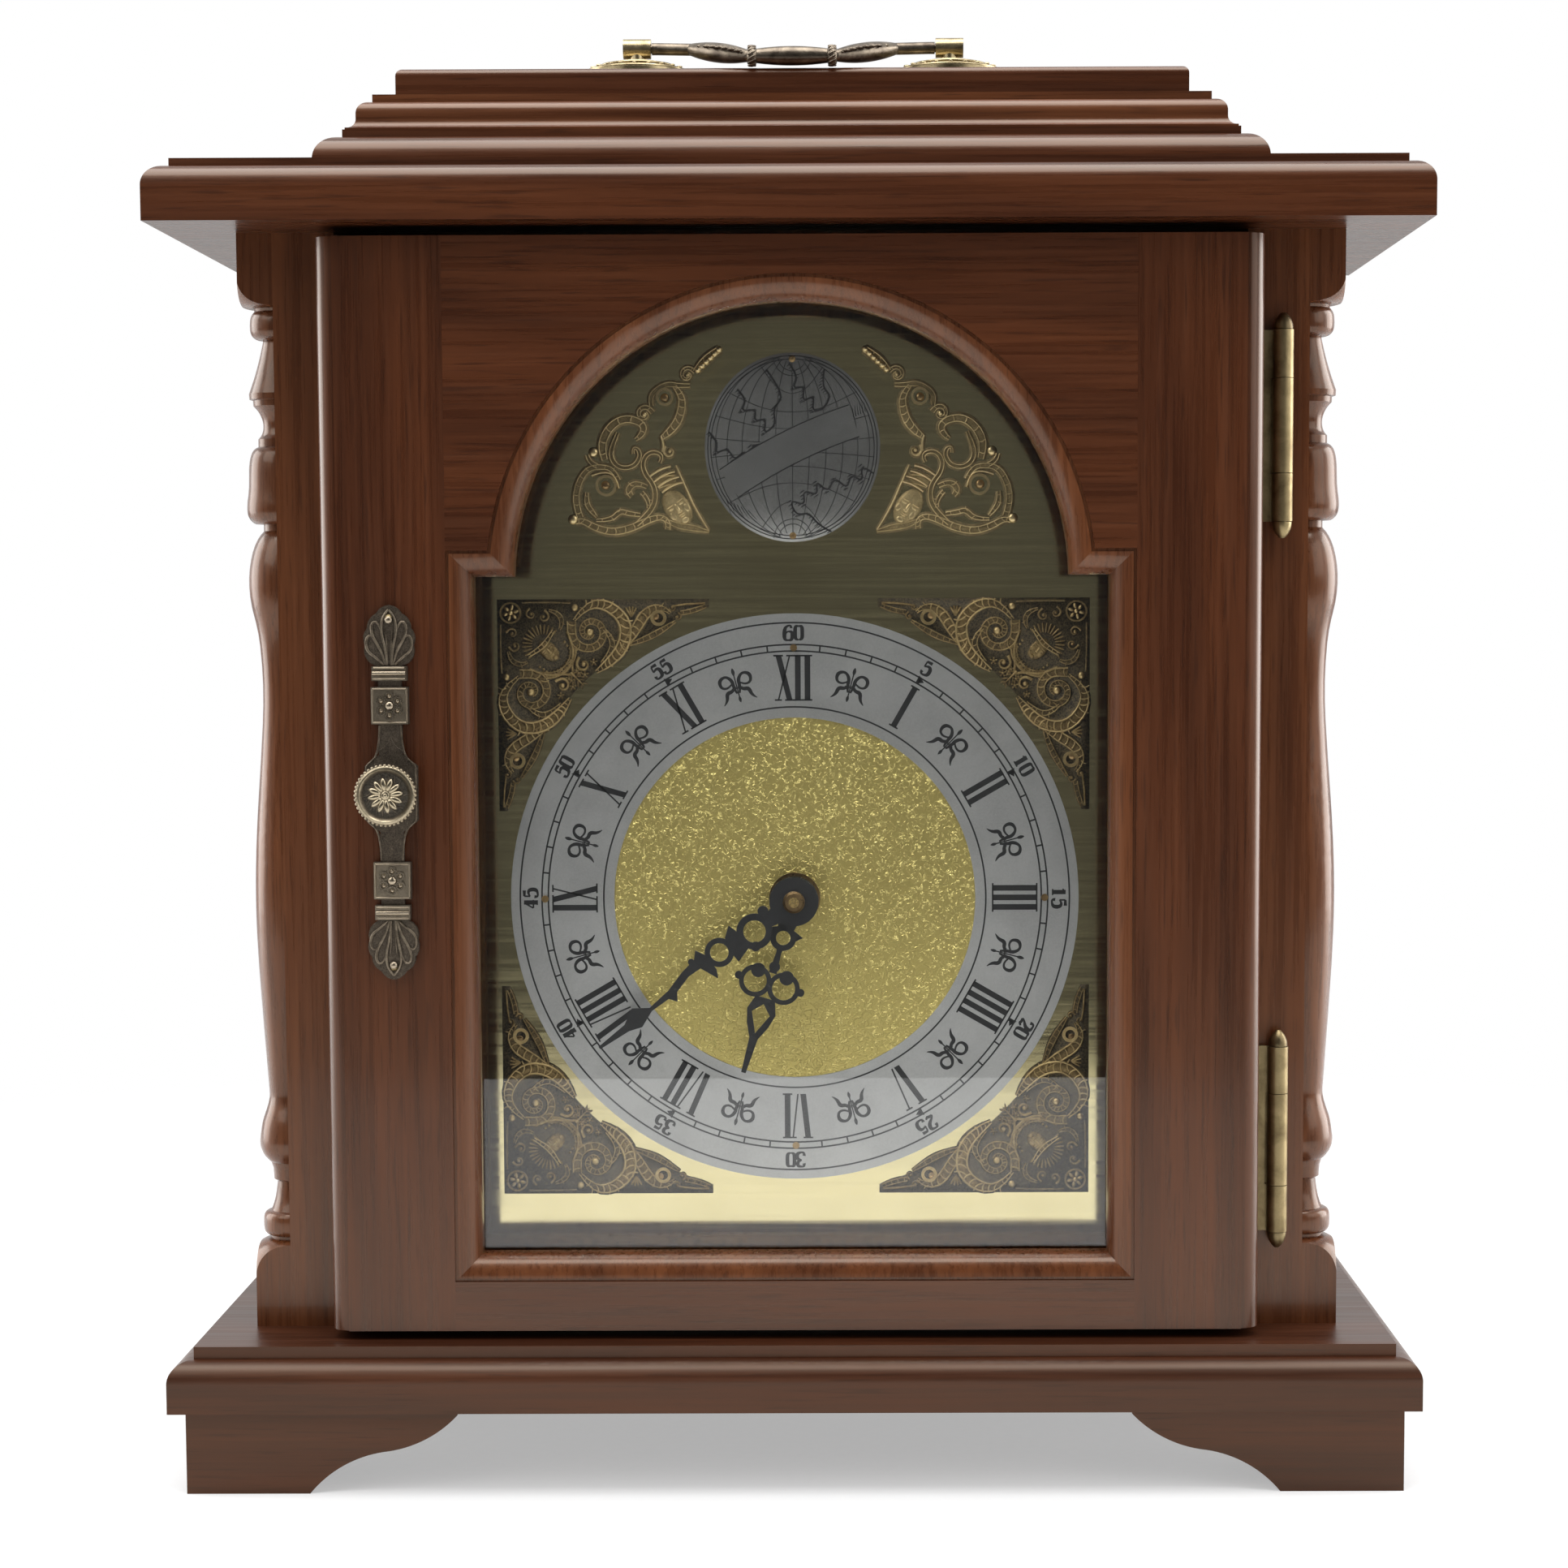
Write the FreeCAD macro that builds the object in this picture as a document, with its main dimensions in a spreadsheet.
import FreeCAD, Part
import math
import os
import Sketcher

from FreeCAD import Placement, Rotation, Vector

# Break-arch mantel clock with a glazed door, split turned columns and a carrying handle.
# Frame: X to the right, Y to the back, Z up, in millimetres. Z = 0 is the surface that the
# feet stand on, X = 0 the middle of the width and Y = 0 the middle of the depth.

doc = FreeCAD.newDocument("mantel_clock")
sheet = doc.addObject("Spreadsheet::Sheet", "Sizes")

# Driving sizes, one cell each. Names that end in share are parts of another size.
SIZES = {
    # Feet and base
    "foot_height": 25.8, "foot_board": 15.0, "foot_front_run": 83.0, "foot_side_run": 62.0,
    "foot_toe": 37.7, "foot_inset": 4.7, "foot_knee_share": 0.5, "foot_sweep_share": 0.8,
    "foot_nib": 1.6,
    "base_thickness": 19.3, "base_reach_side": 32.1, "base_reach_front": 36.0,
    "base_fillet_height": 3.8, "edge_round": 6.3, "edge_step": 0.8,
    # Case
    "case_half_width": 158.5, "case_depth": 108.0, "case_height": 338.7, "case_board": 19.05,
    "panel_thickness": 6.35, "panel_rebate": 9.5, "panel_clearance": 0.5,
    "back_screw_inset": 4.6, "back_screw_end": 13.8, "back_screw_head": 3.4, "back_screw_shank": 1.6,
    "back_screw_length": 16.0, "back_screw_head_height": 2.0,
    "access_width": 76.0, "access_height": 84.0,
    # Cornice and crown
    "cornice_thickness": 19.1, "cornice_reach_side": 32.6, "cornice_reach_front": 33.0,
    "cornice_fillet_height": 2.4,
    "crown_inset": 43.6, "crown_lower_thickness": 14.6, "crown_lower_round": 7.6,
    "crown_lower_step": 0.6, "crown_fillet_height": 2.5,
    "crown_upper_thickness": 11.9, "crown_cove": 3.0, "crown_lip": 0.7, "crown_upper_round": 4.0,
    "crown_cap_inset": 6.4, "crown_cap_thickness": 9.0, "crown_cap_round": 2.4,
    # Split columns
    "column_half": 10.8,
    # Dial board and dial
    "dial_setback": 13.0, "board_fit": 0.25, "cleat_width": 10.0, "cleat_depth": 12.0,
    "cleat_end_gap": 15.0,
    "dial_height": 133.5, "plate_thickness": 0.8, "plate_side_margin": 0.3,
    "plate_shoulder": 104.6, "plate_foot": 117.2, "plate_arch_margin": 3.4,
    "plate_arch_drop": 6.0,
    "ring_radius": 89.0, "ring_width": 32.4, "ring_thickness": 1.0, "centre_thickness": 0.5,
    "bush_radius": 4.0, "bush_fit": 0.2,
    "globe_half_width": 27.2, "globe_half_height": 29.1, "globe_thickness": 0.8, "globe_rise": 140.2,
    "spandrel_side_margin": 3.3, "spandrel_rise_margin": 4.6, "spandrel_tip_margin": 23.0,
    "spandrel_tip": 2.6, "spandrel_thickness": 2.0, "spandrel_gap": 3.4,
    "arch_spandrel_reach": 42.4, "arch_spandrel_rise": 142.4, "arch_spandrel_width": 50.0,
    "arch_spandrel_height": 60.0, "arch_spandrel_thickness": 1.6,
    "dial_screw_radius": 1.1, "dial_screw_height": 0.7, "dial_screw_margin": 10.7,
    # Door
    "door_side_reveal": 15.7, "door_gap": 1.2, "door_bottom_gap": 2.8, "door_top_gap": 3.2,
    "door_thickness": 19.05, "door_edge_round": 5.6, "door_quirk": 1.0,
    "stile_width": 38.5, "bottom_rail": 15.3, "top_rail": 11.5, "arch_step": 12.2,
    "arch_centre_drop": 9.9,
    "moulding_width": 7.9, "moulding_depth": 10.3, "moulding_round": 6.9, "sight_edge": 3.05,
    "glass_thickness": 2.0, "glass_gap": 0.1, "glass_clearance": 0.3,
    "bead_width": 5.0, "bead_depth": 5.4,
    # Hinges
    "hinge_axis_reach": 7.2, "hinge_axis_front": 3.6, "knuckle_radius": 3.15, "hinge_pin_radius": 1.2,
    "hinge_fit": 0.05, "knuckle_gap": 0.2, "hinge_length": 58.0, "hinge_end_knuckle": 14.6,
    "hinge_tip": 4.9, "hinge_tip_bend_share": 1.2, "hinge_tip_flat": 0.7, "hinge_tip_radius": 2.9,
    "hinge_leaf": 1.0, "hinge_leaf_width": 22.0,
    "case_leaf_width": 6.3, "hinge_leaf_end": 3.7, "hinge_upper_drop": 59.7,
    "hinge_lower_rise": 59.1, "leaf_mortise": 1.1, "leaf_fit": 0.3,
    # Door pull
    "pull_inset": 21.5, "pull_rise": 168.7, "pull_length": 113.6, "pull_thickness": 2.2,
    "pull_lozenge_width": 16.0, "pull_lozenge_length": 23.4, "pull_waist": 7.0,
    "pull_block": 11.2, "pull_block_height": 26.5, "pull_block_thickness": 3.4,
    "pull_collar_width": 10.6, "pull_collar_length": 4.4, "pull_shell_width": 14.6,
    "pull_shell_length": 18.4, "pull_rivet_radius": 1.3, "pull_rivet_height": 1.1,
    "pull_rivet_inset": 3.9,
    "pull_rivet_length": 6.0, "pull_pin_radius": 0.7, "pull_lobe_share": 0.26, "pull_ogee_share": 0.3,
    "knob_radius": 9.2, "knob_rim": 1.3, "knob_neck_radius": 3.2, "knob_length": 13.2,
    "knob_foot_radius": 4.8, "knob_bolt_grip": 5.0, "knob_head": 4.4, "knob_flower_radius": 5.4,
    "knob_flower_height": 1.1,
    "knob_bolt_radius": 2.0, "knob_bolt_head": 3.8, "knob_bolt_depth": 6.0,
    # Catch
    "catch_width": 9.5, "catch_length": 30.0, "catch_depth": 9.0, "catch_setback": 0.3,
    "strike_width": 6.0, "strike_length": 20.0, "strike_thickness": 1.0, "strike_inset": 8.2,
    # Handle
    "handle_half_span": 49.9, "rosette_radius": 17.4, "rosette_rim": 1.2, "rosette_dome": 4.4,
    "rosette_boss_radius": 4.8,
    "post_neck_radius": 2.4, "post_height": 9.0, "post_head_radius": 3.1, "post_head_length": 8.8,
    "bail_pin_radius": 1.4, "bail_fit": 0.05, "bail_drop": 20.4, "bail_wire": 1.9,
    "bail_elbow": 32.5, "bail_leaf_radius": 3.1, "bail_waist_share": 0.75, "bail_collar_radius": 3.2,
    "bail_collar_half_span": 12.6, "bail_collar_length": 3.0, "bail_grip_radius": 3.0,
    "bail_rest_gap": 0.3, "bail_pin_depth": 5.0,
    # Movement
    "movement_side": 56.0, "movement_depth": 15.5, "movement_wall": 1.6, "movement_corner": 4.0,
    "battery_bay": 16.0, "cover_thickness": 1.8, "cover_fit": 0.1,
    "battery_radius": 7.1, "battery_length": 49.2, "battery_nub_radius": 2.7, "battery_nub": 1.3,
    "contact_thickness": 0.4, "contact_width": 8.0, "contact_height": 10.0,
    "hour_tube_radius": 2.6, "minute_shaft_radius": 1.6, "shaft_fit": 0.05,
    "pivot_radius": 1.0, "pivot_length": 2.0,
    "gear_distance": 9.6, "gear_thickness": 2.0, "gear_gap": 0.5, "addendum_share": 0.78,
    "dedendum_share": 1.15, "tooth_root_share": 0.5, "tooth_tip_share": 0.22,
    "centre_wheel_radius": 7.2,
    "setting_shaft_radius": 2.0, "setting_knob_radius": 6.0, "setting_knob_length": 5.0,
    "setting_knob_gap": 0.6,
    "drive_width": 15.0, "drive_height": 32.0,
    # Hands
    "hand_thickness": 0.6, "minute_hand_front": 2.2, "hand_spacing": 3.4, "minute_length": 75.8,
    "hour_length": 56.1, "hub_radius": 7.6, "minute_angle": 233.2, "hour_angle": 196.7,
    "hand_nut_radius": 3.4, "hand_nut_height": 2.8, "hand_nut_bevel": 0.7,
    "dial_nut_radius": 6.6, "dial_nut_height": 2.4,
    "washer_radius": 8.0, "washer_thickness": 0.6,
    # Cutting overrun
    "overrun": 1.0,
}

# Numbers of teeth in the motion work.
TEETH = {"cannon": 12, "motion_wheel": 36, "motion_pinion": 10, "hour_wheel": 40}

# Sides of the nut that holds the movement.
NUT_SIDES = 6


class Size:
    """A length: its value, and the expression in the sheet's names that gives it."""

    def __init__(self, value, text):
        self.value = float(value)
        self.text = text

    def __float__(self):
        return self.value

    def __neg__(self):
        return Size(-self.value, f"(0 - {self.text})")

    def __add__(self, other):
        other = as_size(other)
        return Size(self.value + other.value, f"({self.text} + {other.text})")

    def __radd__(self, other):
        return as_size(other) + self

    def __sub__(self, other):
        other = as_size(other)
        return Size(self.value - other.value, f"({self.text} - {other.text})")

    def __rsub__(self, other):
        return as_size(other) - self

    def __mul__(self, other):
        other = as_size(other)
        return Size(self.value * other.value, f"({self.text} * {other.text})")

    def __rmul__(self, other):
        return as_size(other) * self

    def __truediv__(self, other):
        other = as_size(other)
        return Size(self.value / other.value, f"({self.text} / {other.text})")


def as_size(item):
    """A plain number, or a Size as it is."""
    if isinstance(item, Size):
        return item
    return Size(item, f"({item!r})")


def root(size):
    """The square root of a Size."""
    return Size(math.sqrt(size.value), f"sqrt({size.text})")


class Names:
    """Every size of the sheet as an attribute."""


def fill_sheet():
    """Writes the driving sizes into the sheet and returns them by name."""
    names = Names()
    for row, (name, value) in enumerate(SIZES.items(), start=1):
        sheet.set(f"A{row}", name)
        sheet.set(f"B{row}", str(value))
        sheet.setAlias(f"B{row}", name)
    doc.recompute()
    for name in SIZES:
        setattr(names, name, Size(sheet.get(name), f"Sizes.{name}"))
    return names


S = fill_sheet()
ZERO = Size(0, "0")

# Levels and planes that several pieces share.
BASE_LOW = S.foot_height
BASE_TOP = BASE_LOW + S.base_thickness
CASE_TOP = BASE_TOP + S.case_height
CORNICE_TOP = CASE_TOP + S.cornice_thickness
CROWN_MID = CORNICE_TOP + S.crown_lower_thickness
CROWN_TOP = CROWN_MID + S.crown_upper_thickness
CAP_TOP = CROWN_TOP + S.crown_cap_thickness
BASE_HALF = S.case_half_width + S.base_reach_side
CORNICE_HALF = S.case_half_width + S.cornice_reach_side
CASE_INNER = S.case_half_width - S.case_board
FRONT = -S.case_depth / 2
BACK = S.case_depth / 2
DOOR_BACK = FRONT - S.door_gap
DOOR_FRONT = DOOR_BACK - S.door_thickness
DOOR_HALF = S.case_half_width - S.door_side_reveal
HINGE_X = DOOR_HALF + S.hinge_axis_reach
HINGE_UPPER_Z = CASE_TOP - S.hinge_upper_drop
HINGE_LOWER_Z = BASE_TOP + S.hinge_lower_rise
PULL_X = DOOR_HALF - S.pull_inset
PULL_Z = BASE_TOP + S.pull_rise
DOOR_LOW = BASE_TOP + S.door_bottom_gap
DOOR_TOP = CASE_TOP - S.door_top_gap
OPENING_LOW = DOOR_LOW + S.bottom_rail
OPENING_HALF = DOOR_HALF - S.stile_width
ARCH_RADIUS = OPENING_HALF - S.arch_step
ARCH_CENTRE = DOOR_TOP - S.top_rail - ARCH_RADIUS
SHOULDER = ARCH_CENTRE + S.arch_centre_drop
DIAL_Z = BASE_TOP + S.dial_height
PLATE_BACK = FRONT + S.dial_setback
PLATE_FRONT = PLATE_BACK - S.plate_thickness
BOARD_BACK = PLATE_BACK + S.panel_thickness
GLASS_FRONT = DOOR_FRONT + S.moulding_depth + S.glass_gap
GLASS_BACK = GLASS_FRONT + S.glass_thickness
SHELL_FRONT = BOARD_BACK
SHELL_BACK = SHELL_FRONT + S.movement_depth
CHAMBER_FRONT = SHELL_FRONT + S.movement_wall
BUSH_PROUD = S.washer_thickness + S.dial_nut_height + S.centre_thickness
MOTION_Z = DIAL_Z + S.gear_distance
MINUTE_FRONT = FRONT - S.minute_hand_front
HOUR_FRONT = MINUTE_FRONT + S.hand_spacing


# Helpers for objects of the document

def bind(item, **sizes):
    """Sets each property and ties it to its expression."""
    for prop, value in sizes.items():
        value = as_size(value)
        setattr(item, prop, value.value)
        item.setExpression(prop, value.text)


def place(item, x=ZERO, y=ZERO, z=ZERO, turn=None):
    """Puts an object at x, y, z, each tied to its expression, turned by a rotation."""
    x, y, z = as_size(x), as_size(y), as_size(z)
    item.Placement = Placement(Vector(x.value, y.value, z.value), turn or Rotation())
    item.setExpression("Placement.Base.x", x.text)
    item.setExpression("Placement.Base.y", y.text)
    item.setExpression("Placement.Base.z", z.text)
    return item


ALONG_X = Rotation(Vector(0, 1, 0), 90)
ALONG_Y = Rotation(Vector(1, 0, 0), -90)
TOWARDS_FRONT = Rotation(Vector(1, 0, 0), 90)


def box(name, x, y, z):
    """A box from low to high along each axis."""
    item = doc.addObject("Part::Box", name)
    bind(item, Length=x[1] - x[0], Width=y[1] - y[0], Height=z[1] - z[0])
    return place(item, x[0], y[0], z[0])


def rod(name, radius, length, x, y, z, turn=None):
    """A cylinder whose foot is at x, y, z."""
    item = doc.addObject("Part::Cylinder", name)
    bind(item, Radius=radius, Height=length)
    return place(item, x, y, z, turn)


def cut(name, base, *tools):
    """The base less the tools."""
    item = doc.addObject("Part::Cut", name)
    item.Base = base
    item.Tool = tools[0] if len(tools) == 1 else fuse(name + "_tools", *tools)
    return item


def fuse(name, *items):
    """The items as one solid."""
    item = doc.addObject("Part::MultiFuse", name)
    item.Shapes = list(items)
    item.Refine = True
    return item


def common(name, first, second):
    """What two items share."""
    item = doc.addObject("Part::Common", name)
    item.Base = first
    item.Tool = second
    return item


def group(name, *items):
    """Separate solids that share one node."""
    item = doc.addObject("Part::Compound", name)
    item.Links = list(items)
    return item


def mirrored(name, item):
    """The item mirrored to the other side of X = 0."""
    other = doc.addObject("Part::Mirroring", name)
    other.Source = item
    other.Normal = Vector(1, 0, 0)
    return other


def plane_of(body, role):
    """One of a body's own origin planes or axes, by its role."""
    for feature in body.Origin.OriginFeatures:
        if feature.Role == role:
            return feature
    raise ValueError(role)


def arc_between(start, end, radius):
    """A minor arc from start to end: a positive radius turns to the left, a negative to the right."""
    chord = end - start
    half = chord.Length / 2
    side = Vector(-chord.y, chord.x, 0).normalize()
    rise = math.sqrt(max(radius * radius - half * half, 0))
    centre = start + chord * 0.5 + side * math.copysign(rise, radius)
    out = -side * math.copysign(abs(radius), radius)
    return Part.Arc(start, centre + out, end)


def pin_point(sketch, index, end, u, v):
    """Ties one point of a sketch to its two expressions."""
    for kind, value in (("DistanceX", u), ("DistanceY", v)):
        number = sketch.addConstraint(Sketcher.Constraint(kind, -1, 1, index, end, value.value))
        sketch.setExpression(f"Constraints[{number}]", value.text)


def draw_outline(sketch, corners):
    """Draws a closed outline of lines and arcs, with every corner tied to its sizes.

    A corner is (u, v), or (u, v, radius) where an arc leads from it to the next.
    """
    points = [(as_size(corner[0]), as_size(corner[1])) for corner in corners]
    places = [Vector(u.value, v.value, 0) for u, v in points]
    indices = []
    for number, corner in enumerate(corners):
        start, end = places[number], places[(number + 1) % len(places)]
        if len(corner) == 3:
            shape = arc_between(start, end, float(corner[2]))
        else:
            shape = Part.LineSegment(start, end)
        indices.append(sketch.addGeometry(shape, False))
    ends = []
    for number, index in enumerate(indices):
        first = sketch.getPoint(index, 1)
        swapped = first.distanceToPoint(places[number]) > first.distanceToPoint(
            places[(number + 1) % len(places)])
        ends.append((2, 1) if swapped else (1, 2))
    for number, index in enumerate(indices):
        after = (number + 1) % len(indices)
        sketch.addConstraint(Sketcher.Constraint("Coincident", index, ends[number][1],
                                             indices[after], ends[after][0]))
    for number, index in enumerate(indices):
        pin_point(sketch, index, ends[number][0], *points[number])
        if len(corners[number]) == 3:
            radius = as_size(corners[number][2])
            text = radius.text if radius.value > 0 else f"(0 - {radius.text})"
            made = sketch.addConstraint(Sketcher.Constraint("Radius", index, abs(radius.value)))
            sketch.setExpression(f"Constraints[{made}]", text)


def draw_circle(sketch, u, v, radius):
    """Draws a circle with its centre and radius tied to sizes."""
    u, v, radius = as_size(u), as_size(v), as_size(radius)
    circle = Part.Circle(Vector(u.value, v.value, 0), Vector(0, 0, 1), radius.value)
    index = sketch.addGeometry(circle, False)
    pin_point(sketch, index, 3, u, v)
    made = sketch.addConstraint(Sketcher.Constraint("Radius", index, radius.value))
    sketch.setExpression(f"Constraints[{made}]", radius.text)


def sketch_in(body, role, offset=ZERO):
    """A sketch on one of the body's origin planes, moved along its normal by offset."""
    sketch = body.newObject("Sketcher::SketchObject", body.Name + "_sketch")
    sketch.AttachmentSupport = [(plane_of(body, role), "")]
    sketch.MapMode = "FlatFace"
    offset = as_size(offset)
    sketch.AttachmentOffset = Placement(Vector(0, 0, offset.value), Rotation())
    sketch.setExpression("AttachmentOffset.Base.z", offset.text)
    return sketch


def prism(name, role, span, corners=None, circles=()):
    """A padded body: an outline and circles on an origin plane, over a span along its axis.

    On XY_Plane the outline is in X and Z is the span; on XZ_Plane it is in X and Z and the
    span is in Y; on YZ_Plane it is in Y and Z and the span is in X.
    """
    body = doc.addObject("PartDesign::Body", name)
    low, high = as_size(span[0]), as_size(span[1])
    offset = -high if role == "XZ_Plane" else low
    sketch = sketch_in(body, role, offset)
    if corners:
        draw_outline(sketch, corners)
    for circle in circles:
        draw_circle(sketch, *circle)
    pad = body.newObject("PartDesign::Pad", name + "_pad")
    pad.Profile = sketch
    bind(pad, Length=high - low)
    sketch.Visibility = False
    return body


def turned(name, corners):
    """A body turned about its own Z axis from an outline in radius and height."""
    body = doc.addObject("PartDesign::Body", name)
    sketch = sketch_in(body, "XZ_Plane")
    draw_outline(sketch, corners)
    turn = body.newObject("PartDesign::Revolution", name + "_turn")
    turn.Profile = sketch
    turn.ReferenceAxis = (sketch, ["V_Axis"])
    turn.Angle = 360
    sketch.Visibility = False
    return body


def shaped(name, shape, x, y, z, turn=None):
    """A piece whose shape is made directly from the sheet's sizes, then put in its place."""
    item = doc.addObject("Part::Feature", name)
    item.Shape = shape
    return place(item, x, y, z, turn)


def domed(name, radius, rise):
    """A shallow dome on the XY plane about its own Z axis."""
    bend = (radius * radius + rise * rise) / (rise * 2)
    return turned(name, [(ZERO, ZERO), (radius, ZERO, bend), (ZERO, rise)])


# Boards with moulded edges

def edge_corners(low_u, high_u, low_v, edge):
    """An outline with the same edge moulding at both ends.

    Each step of the edge is (inset, height) or (inset, height, radius) from its lower corner.
    """
    right = []
    for step in edge:
        right.append((high_u - step[0], low_v + step[1]) + tuple(step[2:]))
    left = []
    for number in range(len(edge) - 1, -1, -1):
        step = edge[number]
        radius = edge[number - 1][2:] if number else ()
        left.append((low_u + step[0], low_v + step[1]) + tuple(radius))
    return right + left


def moulded_board(name, half_x, y_span, low, edge):
    """A board with a moulded edge on all four sides, mitred at the corners."""
    lengthwise = prism(name + "_width", "XZ_Plane", y_span, edge_corners(-half_x, half_x, low, edge))
    crosswise = prism(name + "_depth", "YZ_Plane", (-half_x, half_x),
                      edge_corners(y_span[0], y_span[1], low, edge))
    return common(name, lengthwise, crosswise)


def rounded_edge(thickness, radius, step, fillet):
    """A rounded edge below a small set-back fillet."""
    shoulder = thickness - fillet
    return [(ZERO, ZERO), (ZERO, shoulder - radius, radius), (radius, shoulder),
            (radius + step, shoulder), (radius + step, thickness)]


# Feet and base

def bracket_foot(name, side, end):
    """A corner bracket foot of two mitred boards with a scrolled lower edge."""
    outer_x = side * (BASE_HALF - S.foot_inset)
    front = FRONT - S.base_reach_front + S.foot_inset
    back = BACK + S.base_reach_front - S.foot_inset
    outer_y = front if end < 0 else back
    inner_y = outer_y - end * S.foot_board

    def scroll(outer, inward, run):
        """The board's outline: a flat toe, then a hollow and a round up to the base."""
        knee = S.foot_toe + (run - S.foot_toe) * S.foot_knee_share
        sweep = (run - S.foot_toe) * S.foot_sweep_share * inward
        return [(outer, ZERO), (outer + inward * S.foot_toe, ZERO, -sweep),
                (outer + inward * knee, S.foot_height * S.foot_knee_share, sweep),
                (outer + inward * run, S.foot_height - S.foot_nib),
                (outer + inward * run, S.foot_height), (outer, S.foot_height)]

    y_low, y_high = (outer_y, inner_y) if end < 0 else (inner_y, outer_y)
    front_board = prism(name + "_front", "XZ_Plane", (y_low, y_high),
                        scroll(outer_x, -side, S.foot_front_run))
    inner_x = outer_x - side * S.foot_board
    x_low, x_high = (outer_x, inner_x) if side < 0 else (inner_x, outer_x)
    side_board = prism(name + "_side", "YZ_Plane", (x_low, x_high),
                       scroll(outer_y, -end, S.foot_side_run))
    return fuse(name, front_board, side_board)


def base_pieces():
    """The four feet and the moulded base board."""
    pieces = []
    for where, end in (("front", -1), ("rear", 1)):
        for hand, side in (("left", -1), ("right", 1)):
            pieces.append(bracket_foot(f"foot_{where}_{hand}", side, end))
    edge = rounded_edge(S.base_thickness, S.edge_round, S.edge_step, S.base_fillet_height)
    y_span = (FRONT - S.base_reach_front, BACK + S.base_reach_front)
    pieces.append(moulded_board("base_board", BASE_HALF, y_span, BASE_LOW, edge))
    return pieces


# Case

def case_pieces():
    """Case sides with a rebate for the back panel, and the panel with its screws."""
    panel_front = BACK - S.panel_thickness
    half = CASE_INNER + S.panel_rebate - S.panel_clearance
    low, high = BASE_TOP + S.panel_clearance, CASE_TOP - S.panel_clearance
    x_screw = half - S.back_screw_inset
    heights = (low + S.back_screw_end, (low + high) / 2, high - S.back_screw_end)
    holes, screws, pilots = [], [], []
    for number, height in enumerate(heights):
        for hand, x in (("a", -x_screw), ("b", x_screw)):
            tag = f"{number}{hand}"
            holes.append(rod(f"back_hole_{tag}", S.back_screw_shank, S.panel_thickness + S.overrun * 2,
                             x, panel_front - S.overrun, height, ALONG_Y))
            shank = rod(f"back_shank_{tag}", S.back_screw_shank, S.back_screw_length,
                        x, BACK - S.back_screw_length, height, ALONG_Y)
            head = domed(f"back_head_{tag}", S.back_screw_head, S.back_screw_head_height)
            place(head, x, BACK, height, ALONG_Y)
            screws.append(fuse(f"back_screw_{tag}", shank, head))
    board = box("back_board", (-half, half), (panel_front, BACK), (low, high))
    access = box("back_access", (-S.access_width / 2, S.access_width / 2),
                 (panel_front - S.overrun, BACK + S.overrun),
                 (DIAL_Z - S.access_height / 2, DIAL_Z + S.access_height / 2))
    back = cut("back_panel", board, access, *holes)
    for number, height in enumerate(heights):
        pilots.append(rod(f"case_pilot_{number}", S.back_screw_shank,
                          S.back_screw_length - S.panel_thickness + S.overrun,
                          x_screw, BACK - S.back_screw_length, height, ALONG_Y))
    board = box("case_side_board", (CASE_INNER, S.case_half_width), (FRONT, BACK),
                (BASE_TOP, CASE_TOP))
    rebate = box("case_side_rebate", (CASE_INNER - S.overrun, CASE_INNER + S.panel_rebate),
                 (panel_front, BACK + S.overrun),
                 (BASE_TOP - S.overrun, CASE_TOP + S.overrun))
    right = cut("case_side_right", board, rebate, *pilots)
    return [mirrored("case_side_left", right), right, back, group("back_panel_screws", *screws)]


# Cornice and stepped crown

def crown_pieces():
    """The cornice board and the three boards stepped up on it."""
    reach = S.cornice_reach_front
    cornice = moulded_board("cornice_board", CORNICE_HALF, (FRONT - reach, BACK + reach), CASE_TOP,
                            rounded_edge(S.cornice_thickness, S.edge_round, S.edge_step,
                                         S.cornice_fillet_height))
    inset = S.crown_inset
    lower = moulded_board("crown_lower_board", CORNICE_HALF - inset,
                          (FRONT - reach + inset, BACK + reach - inset), CORNICE_TOP,
                          rounded_edge(S.crown_lower_thickness, S.crown_lower_round,
                                       S.crown_lower_step, S.crown_fillet_height))
    inset = inset + S.crown_lower_round + S.crown_lower_step + S.crown_lip
    shoulder = S.crown_upper_thickness - S.crown_fillet_height
    top_inset = S.crown_cove + S.crown_upper_round
    ogee = [(ZERO, ZERO), (ZERO, S.crown_lip, -S.crown_cove),
            (S.crown_cove, S.crown_lip + S.crown_cove),
            (S.crown_cove, shoulder - S.crown_upper_round, S.crown_upper_round),
            (top_inset, shoulder), (top_inset + S.crown_lower_step, shoulder),
            (top_inset + S.crown_lower_step, S.crown_upper_thickness)]
    upper = moulded_board("crown_upper_board", CORNICE_HALF - inset,
                          (FRONT - reach + inset, BACK + reach - inset), CROWN_MID, ogee)
    inset = inset + top_inset + S.crown_lower_step + S.crown_cap_inset
    eased = [(ZERO, ZERO), (ZERO, S.crown_cap_thickness - S.crown_cap_round, S.crown_cap_round),
             (S.crown_cap_round, S.crown_cap_thickness)]
    cap = moulded_board("crown_cap", CORNICE_HALF - inset,
                        (FRONT - reach + inset, BACK + reach - inset), CROWN_TOP, eased)
    return [cornice, lower, upper, cap]


# Split turned columns

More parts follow.
